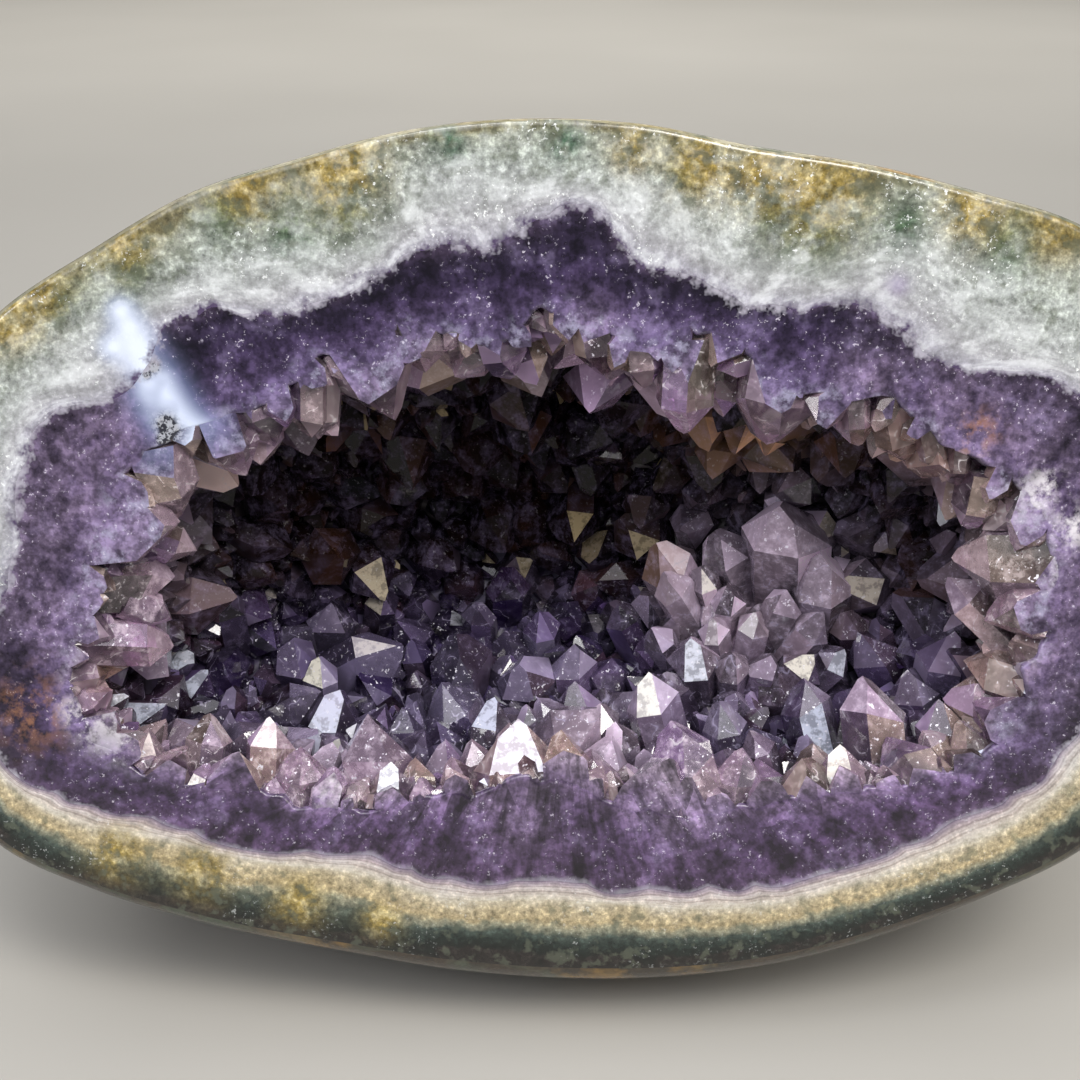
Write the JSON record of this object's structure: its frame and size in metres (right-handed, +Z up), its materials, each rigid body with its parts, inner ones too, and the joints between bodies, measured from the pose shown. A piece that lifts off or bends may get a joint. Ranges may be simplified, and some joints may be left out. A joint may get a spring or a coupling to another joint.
{
  "type": "amethyst geode",
  "caption": "Cut and polished geode half: a banded agate rind, rounded behind, lined with amethyst points round an open hollow.",
  "frame": {"origin": "centre of the bounding box in plan, on the surface that the stone rests on", "axes": "+X to the viewer's right along the cut face, +Y back into the stone, +Z up; the polished face looks along -Y and leans back by 14 degrees"},
  "size_m": [0.2266, 0.1062, 0.1545],
  "materials": {
    "agate": "polished",
    "amethyst": "polished"
  },
  "bodies": {
    "root": {"rind": "agate", "crust": "amethyst"}
  },
  "joints": []
}
